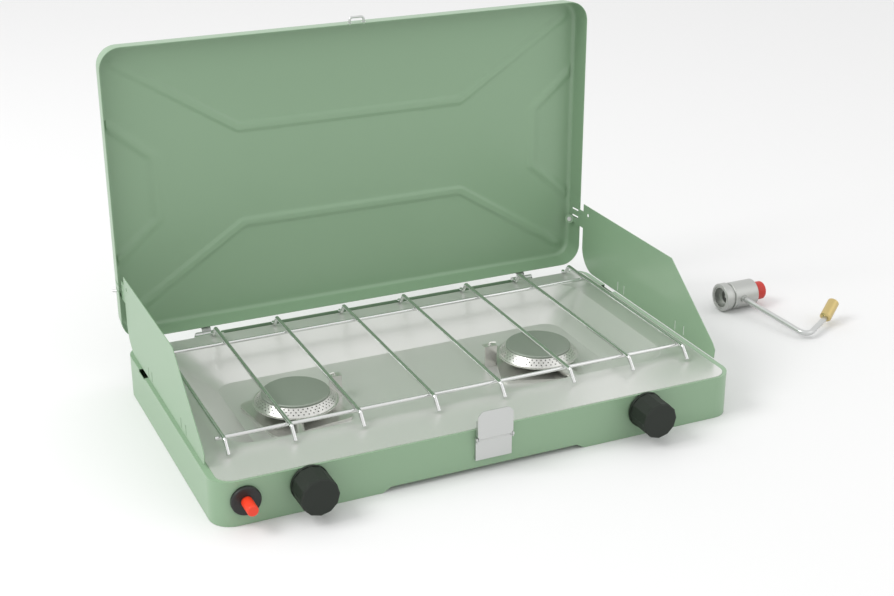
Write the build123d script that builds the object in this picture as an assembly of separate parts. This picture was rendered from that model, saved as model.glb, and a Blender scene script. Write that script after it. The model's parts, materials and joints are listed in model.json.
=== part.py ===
"""Two-burner folding camping stove with lid, windscreens, grate and a loose gas regulator.

Millimetres, +Z up, X to the right, Y to the back. The origin is the centre of
the underside of the base. The lid is drawn open and the windscreens unfolded.
"""
import math
import os
from build123d import *

os.makedirs("parts", exist_ok=True)

# ---- driving dimensions ----
BASE_W = 560.0
BASE_D = 326.0
BASE_H = 46.2
BASE_R = 22.0
SHEET = 0.8
DECK_Z = 47.0
RECESS_FLOOR_Z = 18.0
FRONT_Y = -BASE_D / 2
REAR_Y = BASE_D / 2

HINGE_Y = 166.5
HINGE_Z = 44.8
HINGE_XS = (-188.5, 200.0)
HINGE_HALF = 13.0
ROD_R = 1.5

LID_W = 562.0
LID_L = 321.5
LID_RIM_Y = 169.7
LID_DEPTH = 26.6
LID_BOTTOM_Z = 50.6
LID_SHEET = 0.7
LID_R = 23.0

SCREEN_X = 277.0
SCREEN_SHEET = 0.8
PIVOT = (273.6, 184.5, 104.0)
PIVOT_AXIS = (-0.699901, -0.699901, 0.142396)
PIVOT_PIN_R = 1.5

WIRE_R = 2.1
CROSS_R = 2.0
WIRE_Z = 60.6
WIRE_XS = (36.3, 115.3, 185.2, 251.0)
CROSS_YS = (-94.8, 109.2)

BURNERS = {"left": (-146.0, -4.0), "right": (133.0, -4.0)}
PLATE_TURN = {"left": 8.0, "right": -19.0}
KNOB_X = {"left": -189.0, "right": 171.0}
KNOB_Z = 29.5
STEM_R = 3.0
ELECTRODES = {"left": (-96.5, 15.5), "right": (83.5, 15.5)}

IGNITER_X = -250.5
IGNITER_Z = 26.0

LATCH_PIN_Y = -167.6
LATCH_PIN_Z = 37.0
LATCH_PIN_R = 1.0

REG_Y = 72.2
REG_Z = 17.2
REG_X = 422.0


# ---- helpers ----
def box(x0, x1, y0, y1, z0, z1):
    """Axis-aligned box between two corners."""
    size = Box(x1 - x0, y1 - y0, z1 - z0)
    return Pos((x0 + x1) / 2, (y0 + y1) / 2, (z0 + z1) / 2) * size


def rod(start, end, radius):
    """Round bar between two points."""
    a = Vector(*start)
    b = Vector(*end)
    along = b - a
    plane = Plane(origin=a, z_dir=along.normalized())
    return extrude(plane * Circle(radius), amount=along.length)


def wire(points, bend, radius):
    """Round wire along a path with rounded bends."""
    path = FilletPolyline(*points, radius=bend)
    start = Plane(origin=path @ 0, z_dir=path % 0)
    return sweep(start * Circle(radius), path=path)


def slab(width, depth, corner, z0, z1, cx=0.0, cy=0.0):
    """Flat plate with rounded corners."""
    plane = Plane(origin=(cx, cy, z0))
    return extrude(plane * RectangleRounded(width, depth, corner), amount=z1 - z0)


def turned(points, x, y):
    """Solid of revolution about a vertical line; points are (radius, height)."""
    outline = Plane.XZ * make_face(Polyline(*points, close=True))
    return Pos(x, y, 0) * revolve(outline, axis=Axis.Z)


def save(shape, name):
    export_step(shape, f"parts/{name}.step")


def group(solids):
    return Compound(children=[s for shape in solids for s in shape.solids()])


# ---- base ----
def floor_prism(lift, top):
    """Space above the base floor: raised in the middle of the front and rear edges."""
    points = [
        (-300, lift), (-116, lift), (-107, 5 + lift), (94, 5 + lift),
        (103, lift), (300, lift), (300, top), (-300, top),
    ]
    face = Plane(origin=(0, 200, 0), x_dir=(1, 0, 0), z_dir=(0, -1, 0)) * make_face(
        Polyline(*points, close=True))
    return extrude(face, amount=400) + box(-150, 150, lift - 125, 125 - lift, lift, top)


def base_shell():
    outer = slab(BASE_W, BASE_D, BASE_R, -1, BASE_H) & floor_prism(0, BASE_H)
    inner = slab(BASE_W - 2 * SHEET, BASE_D - 2 * SHEET, BASE_R - SHEET, 0, 60)
    inner = inner & floor_prism(SHEET, 60)
    shell = outer - inner
    ledge = slab(BASE_W - SHEET, BASE_D - SHEET, BASE_R - SHEET / 2, BASE_H - SHEET, BASE_H)
    ledge -= slab(524, 304, 18, BASE_H - 2, BASE_H + 1)
    shell += ledge
    shell += box(-174, 184, REAR_Y - SHEET, REAR_Y, BASE_H - 1, 47.6)
    shell -= box(-172, 184, 155.8, REAR_Y - SHEET, 40, 50)
    shell -= box(-240, -204, 155.8, 166, 42.2, 50)
    shell -= box(209, 262, 155.8, 166, 42.2, 50)
    for side in (-1, 1):
        x0, x1 = sorted((side * 274.0, side * 281.0))
        shell -= box(x0, x1, 82, 106, 43.2, 50)
        shell -= Pos(KNOB_X["left" if side < 0 else "right"], FRONT_Y, KNOB_Z) * Rot(90, 0, 0) * Cylinder(3.4, 6)
    shell -= Pos(IGNITER_X, FRONT_Y, IGNITER_Z) * Rot(90, 0, 0) * Cylinder(8.2, 6)
    shell -= Pos(BASE_W / 2, -60, 17.4) * Rot(0, 90, 0) * Cylinder(9.1, 6)
    for x in (-17.6, 17.6):
        shell -= box(x - 1.5, x + 1.5, -164, -161, 18, 30)
    for x, z in hinge_rivet_points():
        shell -= Pos(x, REAR_Y, z) * Rot(90, 0, 0) * Cylinder(1.62, 6)
    return shell


# ---- cooktop ----
def recess(grow, top_z, floor_z):
    upper = Plane(origin=(-1.0, 15.7, top_z)) * RectangleRounded(486 + grow, 229 + grow, 28)
    lower = Plane(origin=(-1.0, 0.5, floor_z)) * RectangleRounded(408 + grow, 181 + grow, 20)
    return loft([upper, lower])


def cooktop_tray():
    deck = slab(546, 320.4, 16, DECK_Z - SHEET, DECK_Z, 0, -0.8)
    tray = deck + recess(2 * SHEET, DECK_Z, RECESS_FLOOR_Z - SHEET)
    tray -= recess(0, DECK_Z + 0.01, RECESS_FLOOR_Z)
    tray -= box(-172, 184, 155.8, 162, 40, 50)
    tray -= box(-240, -204, 157.0, 162, 40, 50)
    tray -= box(209, 262, 157.0, 162, 40, 50)
    for side in ("left", "right"):
        bx, by = BURNERS[side]
        kx = KNOB_X[side]
        gate_x = bx + (kx - bx) * (-95 - by) / (-165 - by)
        tray -= box(gate_x - 14, gate_x + 14, -110, -84, 20, 41)
        ex, ey = ELECTRODES[side]
        tray -= Pos(ex, ey, RECESS_FLOOR_Z) * Cylinder(2.6, 6)
    return tray


def side_sign(side):
    return -1 if side == "left" else 1


# ---- burners ----
def burner_cap(side):
    x, y = BURNERS[side]
    return turned([(0, 40.8), (35, 40.8), (35, 42.4), (33.8, 43.2), (0, 43.6)], x, y)


def burner_ring(side):
    """Conical flame band with its lower lip."""
    x, y = BURNERS[side]
    band = [(33, 40.8), (35.6, 40.8), (42.4, 33.4), (44, 33.4), (44, 32.2), (41.4, 32.2), (34.6, 39.8), (33, 39.8)]
    return turned(band, x, y)


def burner_bowl(side):
    x, y = BURNERS[side]
    outline = [(0, 21.2), (23, 21.2), (40.6, 32.2), (39.2, 32.2), (22.4, 22.2), (0, 22.2)]
    bowl = turned(outline, x, y)
    dx, dy = tube_direction(side)
    return bowl - rod((x + dx * 14, y + dy * 14, 27.0), (x + dx * 48, y + dy * 48, 27.0), 4.82)


def tube_direction(side):
    """Unit vector from a burner to its valve."""
    x, y = BURNERS[side]
    dx = KNOB_X[side] - x
    dy = -165 - y
    length = math.hypot(dx, dy)
    return dx / length, dy / length


def burner_plate(side):
    """Square stamped plate under the burner, set at its own angle."""
    x, y = BURNERS[side]
    plate = slab(90, 90, 10, RECESS_FLOOR_Z, 21.2) - slab(88.4, 88.4, 9.2, RECESS_FLOOR_Z - 1, 20.4)
    plate = Pos(x, y, 0) * Rot(0, 0, PLATE_TURN[side]) * plate
    ex, ey = ELECTRODES[side]
    return plate - box(ex - 8, ex + 8, ey - 5.5, ey + 6, RECESS_FLOOR_Z - 1, 24)


def venturi_tube(side):
    x, y = BURNERS[side]
    dx, dy = tube_direction(side)
    start = Plane(origin=(x + dx * 34, y + dy * 34, 27.0), z_dir=(dx, dy, 0))
    outline = [(4.0, 0), (4.8, 0), (4.8, 68), (8.0, 80), (8.0, 90), (7.2, 90), (7.2, 80.3), (4.0, 68.3)]
    tube = revolve(Plane.XZ * make_face(Polyline(*outline, close=True)), axis=Axis.Z)
    return start.location * tube


def electrode(side):
    """Ceramic rod with a wire tip that reaches over towards the burner."""
    x, y = ELECTRODES[side]
    ceramic = rod((x, y, 12), (x, y, 40), 2.4)
    bx, by = BURNERS[side]
    length = math.hypot(bx - x, by - y)
    tip_x = x + (bx - x) / length * 7
    tip_y = y + (by - y) / length * 7
    tip = wire([(x, y, 39), (x, y, 45.5), (tip_x, tip_y, 45.5)], 2, 0.7)
    return ceramic + tip


def electrode_bracket(side):
    """Upright plate beside the electrode with a small foot and a folded top."""
    x, y = ELECTRODES[side]
    plate = box(x - 7, x + 7, y - 4.2, y - 3.4, RECESS_FLOOR_Z, 42.6)
    foot = box(x - 7, x + 7, y - 4.2, y + 4.5, RECESS_FLOOR_Z, RECESS_FLOOR_Z + 0.8)
    top = box(x - 7, x + 7, y - 4.2, y + 4.2, 41.8, 42.6)
    bracket = plate + foot + top
    return bracket - Pos(x, y, 27) * Cylinder(2.42, 40)


# ---- gas train ----
def valve_body(side):
    x = KNOB_X[side]
    body = box(x - 8, x + 8, -160, -140, 21.4, 37.5)
    nose = rod((x, -140, KNOB_Z), (x, -132, KNOB_Z), 4)
    bore = rod((x, -161, KNOB_Z), (x, -148, KNOB_Z), STEM_R + 0.05)
    return body + nose - bore


def valve_stem(side):
    x = KNOB_X[side]
    return rod((x, -172, KNOB_Z), (x, -148.5, KNOB_Z), STEM_R)


def knob(side):
    """Twelve-sided control knob with a shallow skirt."""
    x = KNOB_X[side]
    front = Plane(origin=(x, -165, KNOB_Z), x_dir=(1, 0, 0), z_dir=(0, -1, 0))
    body = extrude(front * RegularPolygon(19, 12), amount=30)
    body = chamfer(body.faces().sort_by(Axis.Y)[0].edges(), 1.2)
    skirt = extrude(front * Circle(19.2), amount=3)
    bore = rod((x, -164, KNOB_Z), (x, -172, KNOB_Z), STEM_R)
    return body + skirt - bore


def gas_manifold():
    """Feed pipe under both valves, bent back to the side inlet."""
    front = rod((-197, -150, 17.4), (258, -150, 17.4), 4)
    side = rod((258, -150, 17.4), (258, -60, 17.4), 4)
    outlet = rod((258, -60, 17.4), (266, -60, 17.4), 4)
    elbows = [Pos(258, -150, 17.4) * Sphere(4.6), Pos(258, -60, 17.4) * Sphere(4.6)]
    return front + side + outlet + elbows[0] + elbows[1]


def inlet_fitting():
    """Threaded gas socket in the right-hand wall."""
    barrel = rod((266, -60, 17.4), (281.5, -60, 17.4), 9.0)
    collar = extrude(Plane(origin=(267, -60, 17.4), z_dir=(1, 0, 0)) * RegularPolygon(11, 6), amount=9)
    socket = rod((269.5, -60, 17.4), (282, -60, 17.4), 7.0)
    port = rod((265, -60, 17.4), (270, -60, 17.4), 2.5)
    return barrel + collar - socket - port


# ---- igniter ----
def igniter_bezel():
    ring = rod((IGNITER_X, -167.5, IGNITER_Z), (IGNITER_X, FRONT_Y, IGNITER_Z), 14.5)
    ring = fillet(ring.edges().sort_by(Axis.Y)[0], 1.5)
    sleeve = rod((IGNITER_X, -164, IGNITER_Z), (IGNITER_X, -158, IGNITER_Z), 8.0)
    bore = rod((IGNITER_X, -170, IGNITER_Z), (IGNITER_X, -150, IGNITER_Z), 5.6)
    return ring + sleeve - bore


def igniter_button():
    stem = rod((IGNITER_X, -186.5, IGNITER_Z), (IGNITER_X, -159, IGNITER_Z), 5.5)
    return fillet(stem.edges().sort_by(Axis.Y)[0], 1.5)


def piezo_body():
    case = rod((IGNITER_X, -158, IGNITER_Z), (IGNITER_X, -112, IGNITER_Z), 9.0)
    bore = rod((IGNITER_X, -159, IGNITER_Z), (IGNITER_X, -150, IGNITER_Z), 5.6)
    return case - bore


def ignition_leads():
    left_x, left_y = ELECTRODES["left"]
    right_x, right_y = ELECTRODES["right"]
    start_y = -112
    left = wire([(IGNITER_X, start_y, 28), (IGNITER_X, -96, 28), (IGNITER_X, -70, 9),
                 (left_x, left_y - 24, 9), (left_x, left_y, 9), (left_x, left_y, 12)], 2.5, 1.2)
    right = wire([(IGNITER_X, start_y, 23), (IGNITER_X, -100, 23), (IGNITER_X, -84, 9),
                  (right_x - 20, -60, 9), (right_x, right_y - 24, 9), (right_x, right_y, 9),
                  (right_x, right_y, 12)], 2.5, 1.2)
    return group([left, right])


# ---- latch ----
def latch_bracket():
    """Cover plate on the front wall with two ears that carry the pin."""
    cover = box(-19.5, 19.5, -165.8, -165.0, 14, 38.5)
    for side in (-1, 1):
        x0, x1 = sorted((side * 18.7, side * 19.5))
        cover += box(x0, x1, -165.8, FRONT_Y, 14, 38.5)
        cover += box(x0, x1, -169.4, -165.0, 34.4, 39.6)
    cover -= rod((-21, LATCH_PIN_Y, LATCH_PIN_Z), (21, LATCH_PIN_Y, LATCH_PIN_Z), LATCH_PIN_R)
    for x in (-17.6, 17.6):
        cover += box(x - 1.4, x + 1.4, -165.4, -161.4, 19, 29)
        cover += box(x - 1.4, x + 1.4, -162.2, -161.4, 15, 33)
    return cover


def latch_pin():
    pin = rod((-20.5, LATCH_PIN_Y, LATCH_PIN_Z), (20.5, LATCH_PIN_Y, LATCH_PIN_Z), LATCH_PIN_R)
    for side in (-1, 1):
        pin += rod((side * 19.5, LATCH_PIN_Y, LATCH_PIN_Z), (side * 20.5, LATCH_PIN_Y, LATCH_PIN_Z), 1.7)
    return pin


def latch_flap():
    """Spring flap that rises in front of the lid catch, with a short lip."""
    face = Plane(origin=(0, -168.8, 54.0), x_dir=(1, 0, 0), z_dir=(0, -1, 0))
    plate = extrude(face * RectangleRounded(38, 28, 8), amount=0.8)
    plate += box(-18, 18, -169.6, -168.8, 38.6, 46)
    plate += box(-19, 19, -169.6, -168.8, 40.4, 50)
    lip = box(-12, 12, -168.9, -168.0, 57.0, 57.8)
    flap = plate + lip
    for side in (-1, 1):
        x0, x1 = sorted((side * 18.2, side * 19.0))
        flap += box(x0, x1, -169.6, -165.2, 40.6, 57.0)
        x0, x1 = sorted((side * 17.2, side * 18.0))
        flap += box(x0, x1, -169.6, -166.6, 37.0, 42.0)
        flap += rod((x0, LATCH_PIN_Y, LATCH_PIN_Z), (x1, LATCH_PIN_Y, LATCH_PIN_Z), 1.75)
    return flap - rod((-21, LATCH_PIN_Y, LATCH_PIN_Z), (21, LATCH_PIN_Y, LATCH_PIN_Z), LATCH_PIN_R + 0.05)


# ---- hinges ----
def hinge_rivet_points():
    return [(x + dx, 33.0) for x in HINGE_XS for dx in (-8, 8)]


def hinge_base_leaves():
    leaves = []
    for x in HINGE_XS:
        leaf = box(x - HINGE_HALF, x + HINGE_HALF, REAR_Y, REAR_Y + 0.8, 27, 40.6)
        for x0, x1 in ((x - HINGE_HALF, x - 5.2), (x + 5.2, x + HINGE_HALF)):
            leaf += box(x0, x1, REAR_Y, REAR_Y + 0.8, 40, HINGE_Z)
            leaf += rod((x0, HINGE_Y, HINGE_Z), (x1, HINGE_Y, HINGE_Z), 3.3)
            leaf += box(x0, x1, REAR_Y, REAR_Y + 2.0, HINGE_Z - 2.2, HINGE_Z)
        leaf -= rod((x - 20, HINGE_Y, HINGE_Z), (x + 20, HINGE_Y, HINGE_Z), ROD_R)
        for dx in (-8, 8):
            leaf -= rod((x + dx, 160, 33), (x + dx, 166, 33), 1.6)
        leaves.append(leaf)
    return group(leaves)


def hinge_lid_leaves():
    leaves = []
    for x in HINGE_XS:
        leaf = rod((x - 5, HINGE_Y, HINGE_Z), (x + 5, HINGE_Y, HINGE_Z), 3.3)
        leaf += box(x - 5, x + 5, HINGE_Y + 2.5, HINGE_Y + 3.3, HINGE_Z, LID_BOTTOM_Z)
        leaf += box(x - 5, x + 5, HINGE_Y + 2.5, 176, LID_BOTTOM_Z - 0.8, LID_BOTTOM_Z)
        leaf += box(x - HINGE_HALF, x + HINGE_HALF, 174, 190, LID_BOTTOM_Z - 0.8, LID_BOTTOM_Z)
        leaf -= rod((x - 20, HINGE_Y, HINGE_Z), (x + 20, HINGE_Y, HINGE_Z), ROD_R + 0.05)
        for dx in (-8, 8):
            leaf -= lid_rivet(x + dx, -3, 3, 1.6)
        leaves.append(leaf)
    return group(leaves)


def hinge_rods():
    rods = []
    for x in HINGE_XS:
        rods.append(rod((x - HINGE_HALF - 1, HINGE_Y, HINGE_Z), (x + HINGE_HALF + 1, HINGE_Y, HINGE_Z), ROD_R))
    return group(rods)


def lid_rivet(x, low, high, radius):
    """Upright bar through the bottom wall of the lid; heights count from its outer face."""
    return rod((x, 182, LID_BOTTOM_Z + low), (x, 182, LID_BOTTOM_Z + high), radius)


def hinge_rivets_base():
    rivets = []
    for x, z in hinge_rivet_points():
        shank = rod((x, 161.4, z), (x, 164.4, z), 1.6)
        head = rod((x, 163.8, z), (x, 164.8, z), 3.0)
        tail = rod((x, 161.2, z), (x, 162.2, z), 2.6)
        rivets.append(shank + head + tail)
    return group(rivets)


def hinge_rivets_lid():
    rivets = []
    for x, _ in hinge_rivet_points():
        shank = lid_rivet(x, -1.5, 1.5, 1.6)
        head = lid_rivet(x, -1.8, -0.8, 3.0)
        tail = lid_rivet(x, 0.7, 1.7, 2.6)
        rivets.append(shank + head + tail)
    return group(rivets)


# ---- lid ----
def emboss_runs():
    """Pressed lines on the lid panel as (start, end) in lid x and height."""
    middle = 211.45
    half = 54.45
    runs = []
    for s in (-1, 1):
        for t in (-1, 1):
            corner = (s * 131.6, middle + t * half)
            runs.append((corner, (s * 262.0, middle + t * 140.0)))
            side_corner = (s * 226.1, middle + t * 34.5)
            runs.append((side_corner, (s * 272.0, middle + t * 76.0)))
        runs.append(((s * 226.1, middle - 34.5), (s * 226.1, middle + 34.5)))
    for t in (-1, 1):
        runs.append(((-131.6, middle + t * half), (131.6, middle + t * half)))
    return runs


def emboss_bar(start, end, width, y0, y1):
    (x0, z0), (x1, z1) = start, end
    length = math.hypot(x1 - x0, z1 - z0) + width
    tilt = math.degrees(math.atan2(z1 - z0, x1 - x0))
    middle = Pos((x0 + x1) / 2, (y0 + y1) / 2, (z0 + z1) / 2)
    return middle * Rot(0, -tilt, 0) * Box(length, y1 - y0, width)


def lid_shell():
    plane = Plane(origin=(0, LID_RIM_Y, LID_BOTTOM_Z + LID_L / 2), x_dir=(1, 0, 0), z_dir=(0, 1, 0))
    outer = extrude(plane * RectangleRounded(LID_W, LID_L, LID_R), amount=LID_DEPTH)
    outer = fillet(outer.edges().group_by(Axis.Y)[-1], 4.0)
    inner_face = plane * RectangleRounded(LID_W - 2 * LID_SHEET, LID_L - 2 * LID_SHEET, LID_R - LID_SHEET)
    inner = extrude(inner_face, amount=LID_DEPTH - LID_SHEET)
    inner = fillet(inner.edges().group_by(Axis.Y)[-1], 3.3)
    shell = outer - inner
    back = LID_RIM_Y + LID_DEPTH
    for start, end in emboss_runs():
        shell += emboss_bar(start, end, 8.6, back - 2 * LID_SHEET, back - LID_SHEET) & inner
    for start, end in emboss_runs():
        shell -= emboss_bar(start, end, 7.0, back - LID_SHEET, back + 1)
    for side in (-1, 1):
        x0, x1 = sorted((side * 279.0, side * 282.0))
        shell -= box(x0, x1, 171.5, 187, 107.2, 109.2)
        shell -= box(x0, x1, 171.5, 187, 115.8, 117.8)
        shell -= pivot_bar(side, -14, 2, PIVOT_PIN_R)
    for x in (-8, 8):
        shell -= rod((x, 176.2, 368), (x, 176.2, 374), 1.25)
    for x, _ in hinge_rivet_points():
        shell -= lid_rivet(x, -3, 3, 1.6)
    return shell


def lid_catch():
    """Wire loop on the front edge of the lid, with a flat washer inside."""
    loop = wire([(-8, 176.2, 369.4), (-8, 176.2, 377.35), (8, 176.2, 377.35), (8, 176.2, 369.4)], 3, 1.25)
    for x in (-8, 8):
        loop += rod((x, 176.2, 370.4), (x, 176.2, 371.4), 2.6)
    return loop


# ---- windscreens ----
def pivot_point(side):
    return (side * PIVOT[0], PIVOT[1], PIVOT[2])


def pivot_axis(side):
    return (side * PIVOT_AXIS[0], PIVOT_AXIS[1], PIVOT_AXIS[2])


def pivot_bar(side, start, end, radius):
    """Round bar on the skew hinge line; distances run along its axis."""
    p = Vector(*pivot_point(side))
    n = Vector(*pivot_axis(side)).normalized()
    a = p + n * start
    b = p + n * end
    return rod((a.X, a.Y, a.Z), (b.X, b.Y, b.Z), radius)


def windscreen(side):
    half = SCREEN_SHEET / 2
    plane = Plane(origin=(side * SCREEN_X - half, 0, 0), x_dir=(0, 1, 0), z_dir=(1, 0, 0))
    outline = [
        (156.7, 131), (-36.8, 131), (-123.8, 66), (-128.8, 60), (-127.8, 50),
        (128.7, 50), (156.7, 78),
    ]
    sheet = extrude(plane * make_face(Polyline(*outline, close=True)), amount=SCREEN_SHEET)
    corner = [(128.7, 50), (156.7, 50), (156.7, 78)]
    patch = extrude(plane * make_face(Polyline(*corner, close=True)), amount=SCREEN_SHEET)
    round_end = Pos(side * SCREEN_X, 128.7, 78) * Rot(0, 90, 0) * Cylinder(28, SCREEN_SHEET)
    sheet += patch & round_end
    for y in (71.5, 57.8, -51.4, -68.5):
        sheet -= box(side * SCREEN_X - 2, side * SCREEN_X + 2, y - 0.9, y + 0.9, 52, 63)
    sheet -= Pos(side * SCREEN_X, 146, 120) * Rot(0, 90, 0) * Cylinder(2.2, 4)
    x0, x1 = sorted((side * SCREEN_X - half, side * SCREEN_X + half))
    sheet += box(x0, x1, 150, 181.4, PIVOT[2] - 3.2, PIVOT[2] + 3.2)
    sheet += box(x0, x1, 150, 169.0, PIVOT[2] - 3.2, 121.5)
    sheet += pivot_bar(side, -0.4, 0.4, 5.2)
    return sheet - pivot_bar(side, -2, 2, PIVOT_PIN_R + 0.05)


def windscreen_pivot(side):
    pin = pivot_bar(side, -11.6, 0.6, PIVOT_PIN_R)
    head = pivot_bar(side, 0.5, 1.4, 2.6)
    collar = pivot_bar(side, -1.3, -0.5, 2.6)
    return pin + head + collar


# ---- grate ----
def grate_long_wires():
    wires = []
    for x in [s * v for s in (-1, 1) for v in WIRE_XS]:
        path = [(x, 156.0, 49.2), (x, 150.5, 50.2), (x, 142.2, WIRE_Z), (x, -107.2, WIRE_Z),
                (x, -117.6, 49.3)]
        wires.append(wire(path, 3.0, WIRE_R) + Pos(x, 156.0, 49.4) * Sphere(2.35))
    return group(wires)


def grate_cross_wires():
    z = WIRE_Z - WIRE_R - CROSS_R + 0.1
    return group([rod((-257, y, z), (255, y, z), CROSS_R) for y in CROSS_YS])


# ---- regulator ----
def regulator_body():
    main = rod((REG_X + 13, REG_Y, REG_Z), (REG_X + 46, REG_Y, REG_Z), 16.2)
    main = fillet(main.edges(), 1.5)
    neck = rod((REG_X + 9.9, REG_Y, REG_Z), (REG_X + 15, REG_Y, REG_Z), 14.4)
    boss = rod((REG_X + 25, REG_Y, REG_Z), (REG_X + 25, REG_Y - 18.5, REG_Z), 5.0)
    body = main + neck + boss
    body -= rod((REG_X + 5, REG_Y, REG_Z), (REG_X + 24, REG_Y, REG_Z), 11.0)
    body -= rod((REG_X + 40, REG_Y, REG_Z), (REG_X + 50, REG_Y, REG_Z), 8.0)
    return body - rod((REG_X + 25, REG_Y - 22, REG_Z), (REG_X + 25, REG_Y - 12, REG_Z), 3.25)


def regulator_ring():
    ring = rod((REG_X, REG_Y, REG_Z), (REG_X + 9.8, REG_Y, REG_Z), 17.0)
    ring = fillet(ring.edges(), 1.2)
    return ring - rod((REG_X - 1, REG_Y, REG_Z), (REG_X + 12, REG_Y, REG_Z), 13.6)


def regulator_socket():
    sleeve = rod((REG_X + 0.8, REG_Y, REG_Z), (REG_X + 9.8, REG_Y, REG_Z), 13.5)
    sleeve += rod((REG_X + 9.7, REG_Y, REG_Z), (REG_X + 23.8, REG_Y, REG_Z), 10.9)
    sleeve -= rod((REG_X, REG_Y, REG_Z), (REG_X + 8.6, REG_Y, REG_Z), 12.0)
    sleeve -= rod((REG_X, REG_Y, REG_Z), (REG_X + 20, REG_Y, REG_Z), 8.0)
    return sleeve + rod((REG_X + 8, REG_Y, REG_Z), (REG_X + 22, REG_Y, REG_Z), 1.6)


def regulator_cap():
    cap = rod((REG_X + 46.1, REG_Y, REG_Z), (REG_X + 61, REG_Y, REG_Z), 11.0)
    cap = fillet(cap.edges().sort_by(Axis.X)[-1], 3.0)
    return cap + rod((REG_X + 40.2, REG_Y, REG_Z), (REG_X + 47, REG_Y, REG_Z), 7.9)


def regulator_tube():
    run = (Vector(*NUT_FRONT) - Vector(*NUT_BACK)).normalized() * 15.4
    path = [(REG_X + 25, REG_Y - 12.2, REG_Z), (REG_X + 25, REG_Y - 26, REG_Z), (464, -46, 7),
            NUT_BACK, (NUT_BACK[0] + run.X, NUT_BACK[1] + run.Y, NUT_BACK[2] + run.Z)]
    return wire(path, 9, 3.2) + along_nut(14.2, 16.6, 4.8)


NUT_BACK = (508.0, -20.0, 10.6)
NUT_FRONT = (532.0, -4.9, 23.0)


def hose_nut():
    """Open brass end sleeve, free to turn on the flanged tube end."""
    nut = along_nut(0.6, 28.0, 6.9)
    nut = chamfer(nut.edges().sort_by(Axis.X)[0], 1.6)
    return nut - along_nut(-1.0, 15.0, 3.3) - along_nut(14.0, 29.0, 5.6)


def nut_plane(distance):
    a = Vector(*NUT_BACK)
    n = (Vector(*NUT_FRONT) - a).normalized()
    return Plane(origin=a + n * distance, z_dir=n)


def along_nut(start, end, radius):
    return extrude(nut_plane(start) * Circle(radius), amount=end - start)


# ---- write every part ----
save(base_shell(), "base_shell")
save(cooktop_tray(), "cooktop_tray")
for side in ("left", "right"):
    sign = side_sign(side)
    save(burner_cap(side), f"burner_cap_{side}")
    save(burner_ring(side), f"burner_ring_{side}")
    save(burner_bowl(side), f"burner_bowl_{side}")
    save(burner_plate(side), f"burner_plate_{side}")
    save(venturi_tube(side), f"venturi_tube_{side}")
    save(electrode(side), f"electrode_{side}")
    save(electrode_bracket(side), f"electrode_bracket_{side}")
    save(valve_body(side), f"valve_body_{side}")
    save(valve_stem(side), f"valve_stem_{side}")
    save(knob(side), f"knob_{side}")
    save(windscreen(sign), f"windscreen_{side}")
    save(windscreen_pivot(sign), f"windscreen_pivot_{side}")
save(gas_manifold(), "gas_manifold")
save(inlet_fitting(), "inlet_fitting")
save(igniter_bezel(), "igniter_bezel")
save(igniter_button(), "igniter_button")
save(piezo_body(), "piezo_body")
save(ignition_leads(), "ignition_leads")
save(latch_bracket(), "latch_bracket")
save(latch_pin(), "latch_pin")
save(latch_flap(), "latch_flap")
save(hinge_base_leaves(), "hinge_base_leaves")
save(hinge_lid_leaves(), "hinge_lid_leaves")
save(hinge_rods(), "hinge_rods")
save(hinge_rivets_base(), "hinge_rivets_base")
save(hinge_rivets_lid(), "hinge_rivets_lid")
save(lid_shell(), "lid_shell")
save(lid_catch(), "lid_catch")
save(grate_long_wires(), "grate_long_wires")
save(grate_cross_wires(), "grate_cross_wires")
save(regulator_body(), "regulator_body")
save(regulator_ring(), "regulator_ring")
save(regulator_socket(), "regulator_socket")
save(regulator_cap(), "regulator_cap")
save(regulator_tube(), "regulator_tube")
save(hose_nut(), "hose_nut")
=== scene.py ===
# %% [markdown]
# # A two-burner camping stove
# The solid parts come ready made, each in its right place. This lesson gives
# them their finishes, replaces the few pieces whose stamped or punched shape
# needs a finer mesh, and sets up a camera, soft studio light and a floor.

# %% Load the stove
import json
import math

import bpy
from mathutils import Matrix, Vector


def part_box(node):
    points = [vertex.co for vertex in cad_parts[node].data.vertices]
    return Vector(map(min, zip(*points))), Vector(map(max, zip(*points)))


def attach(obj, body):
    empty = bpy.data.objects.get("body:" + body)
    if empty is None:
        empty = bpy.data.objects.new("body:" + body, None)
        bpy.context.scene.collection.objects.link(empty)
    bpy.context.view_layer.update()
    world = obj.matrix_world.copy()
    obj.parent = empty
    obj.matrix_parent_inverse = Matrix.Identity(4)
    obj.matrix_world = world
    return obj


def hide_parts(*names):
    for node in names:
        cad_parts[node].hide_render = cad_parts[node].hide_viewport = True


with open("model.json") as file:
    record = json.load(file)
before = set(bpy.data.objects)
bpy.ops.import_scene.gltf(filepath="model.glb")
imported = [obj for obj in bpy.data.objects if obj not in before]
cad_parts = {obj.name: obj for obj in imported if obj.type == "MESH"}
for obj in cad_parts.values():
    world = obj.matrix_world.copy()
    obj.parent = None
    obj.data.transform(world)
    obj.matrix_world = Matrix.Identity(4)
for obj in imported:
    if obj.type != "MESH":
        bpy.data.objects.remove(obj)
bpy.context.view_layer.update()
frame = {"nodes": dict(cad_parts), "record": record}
print("nodes loaded:", len(frame["nodes"]))

# %% [markdown]
# ## Small helpers
# Operators work on whatever is selected, so every step first clears the
# selection and then picks one object. A finished piece keeps its place in its
# mesh, so its transform is applied and its object stays at the origin.

# %% Selecting and applying
def pick(*objects):
    """Select only these objects and make the first one active."""
    bpy.ops.object.select_all(action="DESELECT")
    for obj in objects:
        obj.select_set(True)
    bpy.context.view_layer.objects.active = objects[0]


def apply_place(obj):
    pick(obj)
    bpy.ops.object.transform_apply(location=True, rotation=True, scale=True)


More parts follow.
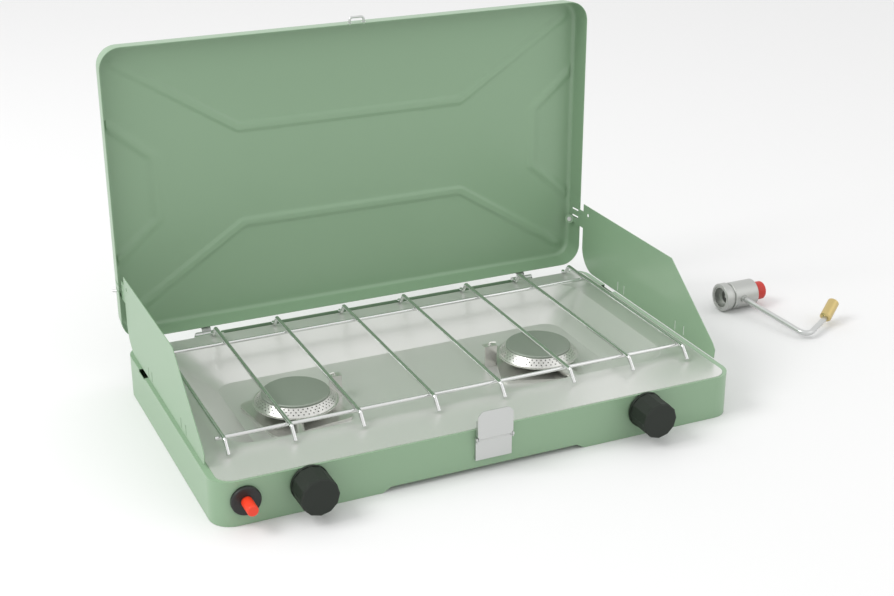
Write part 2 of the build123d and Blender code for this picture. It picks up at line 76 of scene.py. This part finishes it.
def apply_modifiers(obj):
    pick(obj)
    for modifier in list(obj.modifiers):
        bpy.ops.object.modifier_apply(modifier=modifier.name)


def name_piece(obj, name):
    obj.name = name
    obj.data.name = name
    return obj


# %% [markdown]
# ## Finishes
# One function makes every plain finish: a colour, how metallic and how rough
# it is, and a fine grain in the surface. The grain reads Object coordinates,
# so it stays the same size on every piece.

# %% A finish from a few numbers
def finish(name, colour, metal=0.0, rough=0.5, grain=0.0, grain_size=0.002, coat=0.0):
    material = bpy.data.materials.new(name)
    material.use_nodes = True
    nodes = material.node_tree.nodes
    links = material.node_tree.links
    shader = nodes["Principled BSDF"]
    shader.inputs["Base Color"].default_value = (*colour, 1.0)
    shader.inputs["Metallic"].default_value = metal
    shader.inputs["Roughness"].default_value = rough
    shader.inputs["Coat Weight"].default_value = coat
    shader.inputs["Coat Roughness"].default_value = 0.15
    if grain > 0:
        place = nodes.new("ShaderNodeTexCoord")
        noise = nodes.new("ShaderNodeTexNoise")
        noise.inputs["Scale"].default_value = 1.0 / grain_size
        noise.inputs["Detail"].default_value = 3.0
        bump = nodes.new("ShaderNodeBump")
        bump.inputs["Strength"].default_value = grain
        bump.inputs["Distance"].default_value = 0.0002
        links.new(place.outputs["Object"], noise.inputs["Vector"])
        links.new(noise.outputs["Fac"], bump.inputs["Height"])
        links.new(bump.outputs["Normal"], shader.inputs["Normal"])
    return material


green_paint = finish("green_paint", (0.245, 0.375, 0.240), 0.0, 0.38, 0.10, 0.0015, 0.15)
deck_steel = finish("deck_steel", (0.70, 0.71, 0.68), 0.60, 0.34, 0.08, 0.002)
burner_alu = finish("burner_alu", (0.30, 0.34, 0.29), 0.55, 0.48, 0.25, 0.0008)
burner_steel = finish("burner_steel", (0.66, 0.66, 0.63), 0.85, 0.30, 0.10, 0.002)
chrome_wire = finish("chrome_wire", (0.72, 0.73, 0.72), 1.0, 0.18)
zinc = finish("zinc", (0.60, 0.61, 0.60), 0.9, 0.32, 0.10, 0.001)
knob_green = finish("knob_green", (0.005, 0.010, 0.005), 0.0, 0.60, 0.15, 0.0006)
black_plastic = finish("black_plastic", (0.012, 0.013, 0.012), 0.0, 0.42)
red_button = finish("red_button", (0.80, 0.045, 0.012), 0.0, 0.40)
red_cap = finish("red_cap", (0.50, 0.03, 0.02), 0.0, 0.45)
ceramic = finish("ceramic", (0.86, 0.86, 0.82), 0.0, 0.25, coat=0.3)
lead_rubber = finish("lead_rubber", (0.015, 0.015, 0.015), 0.0, 0.6)
brass = finish("brass", (0.62, 0.49, 0.22), 1.0, 0.34, 0.08, 0.001)
zinc_cast = finish("zinc_cast", (0.50, 0.51, 0.49), 0.85, 0.42, 0.30, 0.0008)
finishes = {
    "green_paint": green_paint, "deck_steel": deck_steel, "burner_alu": burner_alu,
    "burner_steel": burner_steel, "chrome_wire": chrome_wire, "zinc": zinc,
    "knob_green": knob_green, "black_plastic": black_plastic, "red_button": red_button,
    "red_cap": red_cap, "ceramic": ceramic, "lead_rubber": lead_rubber, "brass": brass,
    "zinc_cast": zinc_cast,
}
print("finishes:", len(finishes))

# %% [markdown]
# ## Dress the ready-made parts
# The record says which finish each part has. The parts keep their meshes and
# only get a better material in their slot.

# %% Put a finish on every part
for part in frame["record"]["subparts"]:
    node = frame["nodes"][part["node"]]
    for socket in node.material_slots:
        socket.material = finishes[part["material_slot"]]

# %% [markdown]
# ## The lid
# The real lid is one pressed sheet: a shallow pan with rounded corners, a
# rolled rim and a pattern of wide pressed bands that stiffen it. A box cannot
# give the soft band edges, so a fine grid is wrapped into rings of the lid's
# outline, from the middle of the panel out to the rim, and each point is
# pushed back or forward by how near it lies to a band.

# %% Lid sizes and pressed bands
lid_low, lid_high = (Vector(v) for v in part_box("lid_shell"))
LID_HALF_W = (lid_high.x - lid_low.x) / 2
LID_HALF_L = (lid_high.z - lid_low.z) / 2
LID_MID_Z = (lid_high.z + lid_low.z) / 2
LID_RIM_Y = lid_low.y
LID_DEPTH = lid_high.y - lid_low.y
LID_SHEET = 0.0007
LID_CORNER = 0.023
BAND_HEIGHT = 0.0016
BAND_HALF = 0.0046
BAND_EDGE = 0.0026

CORNER_MARGIN = 0.022
CORNER_X = 0.262
SIDE_RUN_X = 0.272
SIDE_RUN = 0.040
upper_z = lid_low.z + 0.2154
lower_z = lid_low.z + 0.1065
corner_x = 0.1316
side_x = 0.2261
side_top = lid_low.z + 0.1941
side_low = lid_low.z + 0.1251
bands = [((-corner_x, upper_z), (corner_x, upper_z)), ((-corner_x, lower_z), (corner_x, lower_z))]
for s in (-1, 1):
    bands.append(((s * corner_x, upper_z), (s * CORNER_X, lid_high.z - CORNER_MARGIN)))
    bands.append(((s * corner_x, lower_z), (s * CORNER_X, lid_low.z + CORNER_MARGIN)))
    bands.append(((s * side_x, side_low), (s * side_x, side_top)))
    bands.append(((s * side_x, side_top), (s * SIDE_RUN_X, side_top + SIDE_RUN)))
    bands.append(((s * side_x, side_low), (s * SIDE_RUN_X, side_low - SIDE_RUN)))


def distance_to_band(x, z, start, end):
    ax, az = start
    bx, bz = end
    t = ((x - ax) * (bx - ax) + (z - az) * (bz - az)) / ((bx - ax) ** 2 + (bz - az) ** 2)
    t = max(0.0, min(1.0, t))
    return math.hypot(x - ax - t * (bx - ax), z - az - t * (bz - az))


def band_lift(x, z):
    """How far the panel is pressed at a point, with soft edges."""
    near = min(distance_to_band(x, z, a, b) for a, b in bands)
    t = (BAND_HALF + BAND_EDGE / 2 - near) / BAND_EDGE
    t = max(0.0, min(1.0, t))
    return BAND_HEIGHT * t * t * (3 - 2 * t)


# %% Walk round a rounded rectangle
def rounded_outline(half_w, half_l, corner, steps):
    """Points round a rounded rectangle, evenly spaced along its length."""
    straight_w = 2 * (half_w - corner)
    straight_l = 2 * (half_l - corner)
    arc = math.pi * corner / 2
    total = 2 * straight_w + 2 * straight_l + 4 * arc
    points = []
    for i in range(steps):
        run = total * i / steps
        for side, straight in enumerate((straight_w, straight_l, straight_w, straight_l)):
            turn = side * math.pi / 2
            along = (half_w, half_l) if side % 2 == 0 else (half_l, half_w)
            if run <= straight:
                local = (run - straight / 2, -along[1])
                break
            run -= straight
            if run <= arc:
                a = run / corner
                local = (straight / 2 + corner * math.sin(a), -along[1] + corner * (1 - math.cos(a)))
                break
            run -= arc
        c, s = math.cos(turn), math.sin(turn)
        points.append((local[0] * c - local[1] * s, local[0] * s + local[1] * c))
    return points


# %% Wrap a grid into the pan
AROUND = 520
PANEL_RINGS = 84
DRAFT = 0.0022
FLOOR_BEND = 0.0050


def wall_profile():
    """Steps from the edge of the panel to the rolled rim: (inset, depth)."""
    steps = []
    for i in range(7):
        a = math.pi / 2 * i / 6
        inset = DRAFT + FLOOR_BEND * (1 - math.sin(a))
        steps.append((inset, LID_DEPTH - LID_SHEET - FLOOR_BEND * (1 - math.cos(a))))
    steps.append((DRAFT * 0.35, 0.0055))
    steps.append((0.0008, 0.0022))
    steps.append((0.0006, 0.0008))
    return steps


bpy.ops.object.select_all(action="DESELECT")
wall = wall_profile()
rings = PANEL_RINGS + len(wall)
bpy.ops.mesh.primitive_grid_add(x_subdivisions=AROUND, y_subdivisions=rings - 1, size=1.0)
lid = name_piece(bpy.context.object, "lid_pan")
columns = AROUND + 1
outlines = {}
for vertex in lid.data.vertices:
    column = vertex.index % columns
    ring = vertex.index // columns
    if ring < PANEL_RINGS:
        inset, depth = wall[0]
        reach = (ring + 0.02) / PANEL_RINGS
    else:
        inset, depth = wall[ring - PANEL_RINGS]
        reach = 1.0
    if ring not in outlines:
        outlines[ring] = rounded_outline(
            LID_HALF_W - LID_SHEET - inset, LID_HALF_L - LID_SHEET - inset,
            max(LID_CORNER - inset, 0.004), AROUND)
    px, pz = outlines[ring][column % AROUND]
    x, z = px * reach, LID_MID_Z + pz * reach
    y = LID_RIM_Y + depth
    if ring <= PANEL_RINGS:
        y -= band_lift(x, z)
    vertex.co = (x, y, z)

# %% Close the seam and give the sheet its thickness
pick(lid)
bpy.ops.object.mode_set(mode="EDIT")
bpy.ops.mesh.select_all(action="SELECT")
bpy.ops.mesh.remove_doubles(threshold=0.00001)
bpy.ops.mesh.select_all(action="SELECT")
bpy.ops.mesh.normals_make_consistent(inside=False)
bpy.ops.object.mode_set(mode="OBJECT")
middle = min(lid.data.polygons, key=lambda f: (f.center - Vector((0, f.center.y, LID_MID_Z))).length)
thickness = lid.modifiers.new("sheet", "SOLIDIFY")
thickness.thickness = LID_SHEET
thickness.offset = 1.0 if middle.normal.y > 0 else -1.0
apply_modifiers(lid)

# %% Cut the slots in the side walls of the lid
SLOT_BOTTOMS = (0.1072, 0.1158)
SLOT_HEIGHT = 0.0020
SLOT_LENGTH = 0.0155
SLOT_CUT = 0.006
SLOT_X = 0.2805
SLOT_Y = 0.17925
slot_bars = []
for s in (-1, 1):
    for bottom in SLOT_BOTTOMS:
        bpy.ops.object.select_all(action="DESELECT")
        bpy.ops.mesh.primitive_cube_add(size=1.0, location=(s * SLOT_X, SLOT_Y, bottom + SLOT_HEIGHT / 2))
        bpy.context.object.dimensions = (SLOT_CUT, SLOT_LENGTH, SLOT_HEIGHT)
        apply_place(bpy.context.object)
        slot_bars.append(bpy.context.object)
pick(*slot_bars)
bpy.ops.object.join()
slot_bar = bpy.context.object
cut = lid.modifiers.new("slots", "BOOLEAN")
cut.operation = "DIFFERENCE"
cut.solver = "EXACT"
cut.object = slot_bar
apply_modifiers(lid)
bpy.data.objects.remove(slot_bar, do_unlink=True)
pick(lid)
bpy.ops.object.shade_smooth_by_angle(angle=math.radians(40))
lid.data.materials.clear()
lid.data.materials.append(green_paint)
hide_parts("lid_shell")
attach(lid, "lid")
print("lid triangles:", sum(len(f.vertices) - 2 for f in lid.data.polygons))

# %% [markdown]
# ## Flame bands
# The sloping band of each burner is a thin sheet punched with three staggered
# rows of small flame holes. A cone shell is spun from a short profile, the
# hole punches are short cylinders square to the slope, and one boolean cuts
# them all.

# %% Spin a profile into a ring
def ring_from_profile(name, centre, profile, segments):
    """Turn a closed (radius, height) profile about the upright axis."""
    verts = []
    faces = []
    count = len(profile)
    for i in range(segments):
        a = 2 * math.pi * i / segments
        for radius, height in profile:
            verts.append((centre[0] + radius * math.cos(a), centre[1] + radius * math.sin(a), height))
        for j in range(count):
            k = (j + 1) % count
            n = (i + 1) % segments
            faces.append((i * count + j, n * count + j, n * count + k, i * count + k))
    mesh = bpy.data.meshes.new(name)
    mesh.from_pydata(verts, [], faces)
    ring = bpy.data.objects.new(name, mesh)
    bpy.context.collection.objects.link(ring)
    pick(ring)
    bpy.ops.object.mode_set(mode="EDIT")
    bpy.ops.mesh.select_all(action="SELECT")
    bpy.ops.mesh.normals_make_consistent(inside=False)
    bpy.ops.object.mode_set(mode="OBJECT")
    return ring


# %% Punch the flame holes
BAND_PROFILE = [
    (0.0330, 0.0408), (0.0356, 0.0408), (0.0424, 0.0334), (0.0440, 0.0334),
    (0.0440, 0.0322), (0.0419, 0.0322), (0.0349, 0.0399), (0.0330, 0.0399),
]
SLOPE = math.atan2(0.0074, 0.0068)
HOLE_ROWS = ((0.0367, 0.0396, 0.0), (0.0386, 0.0376, 0.5), (0.0405, 0.0355, 0.0))
HOLES_ROUND = 48
HOLE_RADIUS = 0.00072
PUNCH_LENGTH = 0.004
for side in ("left", "right"):
    node = "burner_ring_" + side
    low, high = (Vector(v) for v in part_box(node))
    centre = ((low.x + high.x) / 2, (low.y + high.y) / 2)
    band = ring_from_profile("flame_band_" + side, centre, BAND_PROFILE, 144)
    punches = []
    for radius, height, shift in HOLE_ROWS:
        for i in range(HOLES_ROUND):
            a = 2 * math.pi * (i + shift) / HOLES_ROUND
            place = (centre[0] + radius * math.cos(a), centre[1] + radius * math.sin(a), height)
            bpy.ops.object.select_all(action="DESELECT")
            bpy.ops.mesh.primitive_cylinder_add(
                vertices=10, radius=HOLE_RADIUS, depth=PUNCH_LENGTH, location=place,
                rotation=(0, math.pi / 2 - SLOPE, a))
            punches.append(bpy.context.object)
    pick(*punches)
    bpy.ops.object.join()
    punch = bpy.context.object
    cut = band.modifiers.new("holes", "BOOLEAN")
    cut.operation = "DIFFERENCE"
    cut.solver = "EXACT"
    cut.object = punch
    apply_modifiers(band)
    bpy.data.objects.remove(punch, do_unlink=True)
    pick(band)
    bpy.ops.object.shade_smooth_by_angle(angle=math.radians(30))
    band.data.materials.clear()
    band.data.materials.append(burner_steel)
    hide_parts(node)
    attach(band, "stove_base")
print("flame holes:", 2 * len(HOLE_ROWS) * HOLES_ROUND)

# %% [markdown]
# ## Camera, light and floor
# The camera stands in front and to the left, a little above. A large soft
# light comes high from the left, a weaker one fills from the right, and a
# bright even surround keeps the shadows pale.

# %% Camera
camera_data = bpy.data.cameras.new("camera")
camera = bpy.data.objects.new("camera", camera_data)
bpy.context.collection.objects.link(camera)
camera.location = (-0.5859, -1.3367, 0.7346)
camera.rotation_euler = (math.radians(67.11), 0.0, math.radians(-24.59))
camera_data.lens = 61.40
camera_data.sensor_width = 36.0
bpy.context.scene.camera = camera

# %% Floor and lights
bpy.ops.object.select_all(action="DESELECT")
bpy.ops.mesh.primitive_plane_add(size=8.0, location=(0, 0, -0.0002))
floor = name_piece(bpy.context.object, "floor")
apply_place(floor)
floor.data.materials.append(finish("floor_paper", (0.79, 0.79, 0.79), 0.0, 0.9))


def soft_light(name, place, size, power):
    data = bpy.data.lights.new(name, "AREA")
    data.shape = "SQUARE"
    data.size = size
    data.energy = power
    light = bpy.data.objects.new(name, data)
    light.location = place
    light.rotation_euler = (Vector((0, 0, 0.1)) - Vector(place)).to_track_quat("-Z", "Y").to_euler()
    bpy.context.collection.objects.link(light)
    return light


soft_light("key_light", (-1.9, 0.1, 2.1), 1.2, 34.0)
soft_light("fill_light", (1.8, -1.6, 1.5), 2.0, 6.0)
bpy.context.scene.view_settings.view_transform = "Standard"
world = bpy.data.worlds.new("studio")
bpy.context.scene.world = world
world.use_nodes = True
world.node_tree.nodes["Background"].inputs["Color"].default_value = (1.0, 1.0, 1.0, 1.0)
world.node_tree.nodes["Background"].inputs["Strength"].default_value = 0.98
